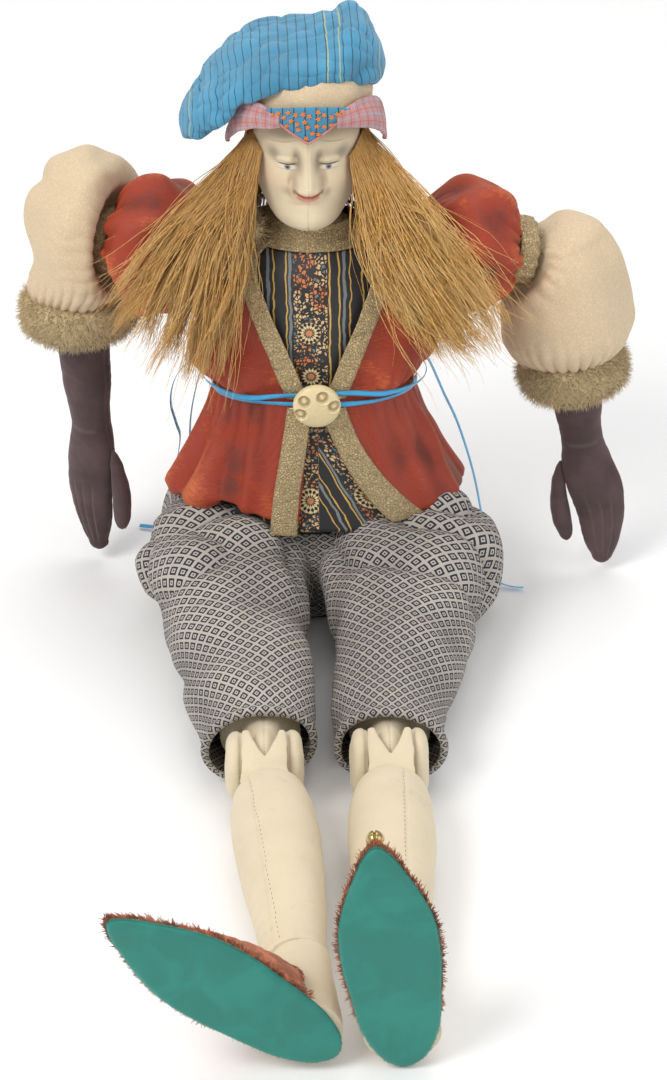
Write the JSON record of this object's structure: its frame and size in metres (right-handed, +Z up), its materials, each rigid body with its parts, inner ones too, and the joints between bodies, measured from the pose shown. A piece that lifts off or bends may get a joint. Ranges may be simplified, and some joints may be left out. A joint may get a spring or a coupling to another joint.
{
  "type": "cloth doll",
  "caption": "Seated stuffed cloth art doll in a velvet jacket, diamond-weave trousers and striped floppy hat, with jointed arms and legs.",
  "frame": {"origin": "centre of the bounding box at the surface the doll sits on", "axes": "+Z up, -Y the way the doll faces and its legs stretch, +X the doll's left"},
  "size_m": [0.3846, 0.532, 0.392],
  "materials": {
    "body_cloth": "cream ribbed cotton, stuffed",
    "face_cloth": "painted cream cloth with a centre seam",
    "tunic_silk": "black cloth with gold stripes and orange flowers",
    "rust_velvet": "crushed rust velvet",
    "gold_trim": "metallic woven braid",
    "cream_print": "cream cotton with a tone-on-tone print",
    "fur": "olive-tan fur",
    "glove_suede": "dark brown suede cloth",
    "blue_stripe": "blue woven stripe",
    "pink_plaid": "dusty pink plaid",
    "badge_stitch": "blue embroidered panel with orange flowers",
    "mohair": "long orange-blond mohair",
    "blue_ribbon": "narrow blue satin ribbon",
    "button_horn": "polished ivory-coloured button",
    "diamond_weave": "black and white woven diamonds",
    "teal_velvet": "teal velvet",
    "shoe_velvet": "rust-brown velvet with a raw edge",
    "brass": "aged brass"
  },
  "bodies": {
    "torso": {"torso_body": "body_cloth", "trouser_seat": "diamond_weave", "tunic_front": "tunic_silk", "tunic_collar": "gold_trim", "jacket_bodice": "rust_velvet", "jacket_peplum": "rust_velvet", "trim_upper_left": "gold_trim", "trim_upper_right": "gold_trim", "trim_lower_left": "gold_trim", "trim_lower_right": "gold_trim", "fur_collar": "fur", "belt_ribbon_upper": "blue_ribbon", "belt_ribbon_lower": "blue_ribbon", "belt_button": "button_horn", "ribbon_tail_left": "blue_ribbon", "ribbon_tail_right": "blue_ribbon", "ribbon_loop_right": "blue_ribbon", "ribbon_bead": "button_horn"},
    "head": {"head": "face_cloth", "hat_crown": "blue_stripe", "hat_band": "cream_print", "hat_brim_left": "pink_plaid", "hat_brim_right": "pink_plaid", "hat_badge": "badge_stitch", "hair_left": "mohair", "hair_right": "mohair", "hair_back": "mohair"},
    "shoulder_left": {"shoulder_cap_left": "body_cloth", "sleeve_puff_left": "rust_velvet"},
    "upper_arm_left": {"upper_arm_left": "body_cloth", "sleeve_band_left": "gold_trim", "sleeve_lower_left": "cream_print"},
    "forearm_left": {"glove_left": "glove_suede", "thumb_left": "glove_suede", "fur_cuff_left": "fur"},
    "thigh_left": {"thigh_left": "body_cloth", "trouser_leg_left": "diamond_weave"},
    "shin_left": {"shin_left": "body_cloth", "knee_disc_outer_left": "body_cloth", "knee_disc_inner_left": "body_cloth"},
    "foot_left": {"foot_left": "body_cloth", "shoe_upper_left": "shoe_velvet", "shoe_sole_left": "teal_velvet"},
    "shoulder_right": {"shoulder_cap_right": "body_cloth", "sleeve_puff_right": "rust_velvet"},
    "upper_arm_right": {"upper_arm_right": "body_cloth", "sleeve_band_right": "gold_trim", "sleeve_lower_right": "cream_print"},
    "forearm_right": {"glove_right": "glove_suede", "thumb_right": "glove_suede", "fur_cuff_right": "fur"},
    "thigh_right": {"thigh_right": "body_cloth", "trouser_leg_right": "diamond_weave"},
    "shin_right": {"shin_right": "body_cloth", "knee_disc_outer_right": "body_cloth", "knee_disc_inner_right": "body_cloth"},
    "foot_right": {"foot_right": "body_cloth", "shoe_upper_right": "shoe_velvet", "shoe_sole_right": "teal_velvet"},
    "bell": {"jingle_bell": "brass"}
  },
  "joints": [
    {"name": "neck_turn", "type": "hinge", "parent": "torso", "child": "head", "pos_m": [-0.00855, 0.19496, 0.258], "axis": [0, 0, 1], "range_deg": [-35, 35], "deforming": ["hair_left", "hair_right", "hair_back"]},
    {"name": "shoulder_lift_left", "type": "hinge", "parent": "torso", "child": "shoulder_left", "pos_m": [0.06745, 0.19096, 0.243], "axis": [0, -1, 0], "range_deg": [-10, 20], "deforming": ["sleeve_puff_left"]},
    {"name": "shoulder_swing_left", "type": "hinge", "parent": "shoulder_left", "child": "upper_arm_left", "pos_m": [0.06745, 0.19096, 0.243], "axis": [-0.9679, -0.157, 0.1962], "range_deg": [-20, 80], "deforming": ["sleeve_puff_left", "sleeve_lower_left"]},
    {"name": "elbow_left", "type": "hinge", "parent": "upper_arm_left", "child": "forearm_left", "pos_m": [0.14247, 0.20313, 0.22779], "axis": [0.1729, -0.9827, 0.0668], "range_deg": [-5, 55], "deforming": ["sleeve_lower_left"]},
    {"name": "hip_left", "type": "hinge", "parent": "torso", "child": "thigh_left", "pos_m": [0.04145, 0.18096, 0.027], "axis": [1, 0, 0], "range_deg": [-8, 80], "deforming": ["trouser_leg_left"]},
    {"name": "knee_left", "type": "hinge", "parent": "thigh_left", "child": "shin_left", "pos_m": [0.02745, -0.04303, 0.027], "axis": [1, 0, 0], "range_deg": [0, 85], "deforming": ["trouser_leg_left"]},
    {"name": "ankle_left", "type": "hinge", "parent": "shin_left", "child": "foot_left", "pos_m": [0.02245, -0.22404, 0.024], "axis": [0, 1, 0], "range_deg": [-5, 40]},
    {"name": "shoulder_lift_right", "type": "hinge", "parent": "torso", "child": "shoulder_right", "pos_m": [-0.08455, 0.19096, 0.243], "axis": [0, 1, 0], "range_deg": [-5, 20], "deforming": ["sleeve_puff_right"]},
    {"name": "shoulder_swing_right", "type": "hinge", "parent": "shoulder_right", "child": "upper_arm_right", "pos_m": [-0.08455, 0.19096, 0.243], "axis": [-0.9183, 0.3826, -0.102], "range_deg": [-20, 80], "deforming": ["sleeve_puff_right", "sleeve_lower_right"]},
    {"name": "elbow_right", "type": "hinge", "parent": "upper_arm_right", "child": "forearm_right", "pos_m": [-0.15571, 0.22062, 0.23509], "axis": [0.3855, 0.9227, -0.009], "range_deg": [0, 60], "deforming": ["sleeve_lower_right"]},
    {"name": "hip_right", "type": "hinge", "parent": "torso", "child": "thigh_right", "pos_m": [-0.05855, 0.18096, 0.027], "axis": [1, 0, 0], "range_deg": [-8, 80], "deforming": ["trouser_leg_right"]},
    {"name": "knee_right", "type": "hinge", "parent": "thigh_right", "child": "shin_right", "pos_m": [-0.04455, -0.04303, 0.027], "axis": [1, 0, 0], "range_deg": [0, 85], "deforming": ["trouser_leg_right"]},
    {"name": "ankle_right", "type": "hinge", "parent": "shin_right", "child": "foot_right", "pos_m": [-0.02855, -0.22404, 0.0245], "axis": [0, -1, 0], "range_deg": [-30, 12]},
    {"name": "bell_swivel", "type": "hinge", "parent": "foot_left", "child": "bell", "pos_m": [0.00817, -0.25554, 0.14516], "axis": [-0.117, 0, 0.9931], "range_deg": [-60, 60]}
  ]
}
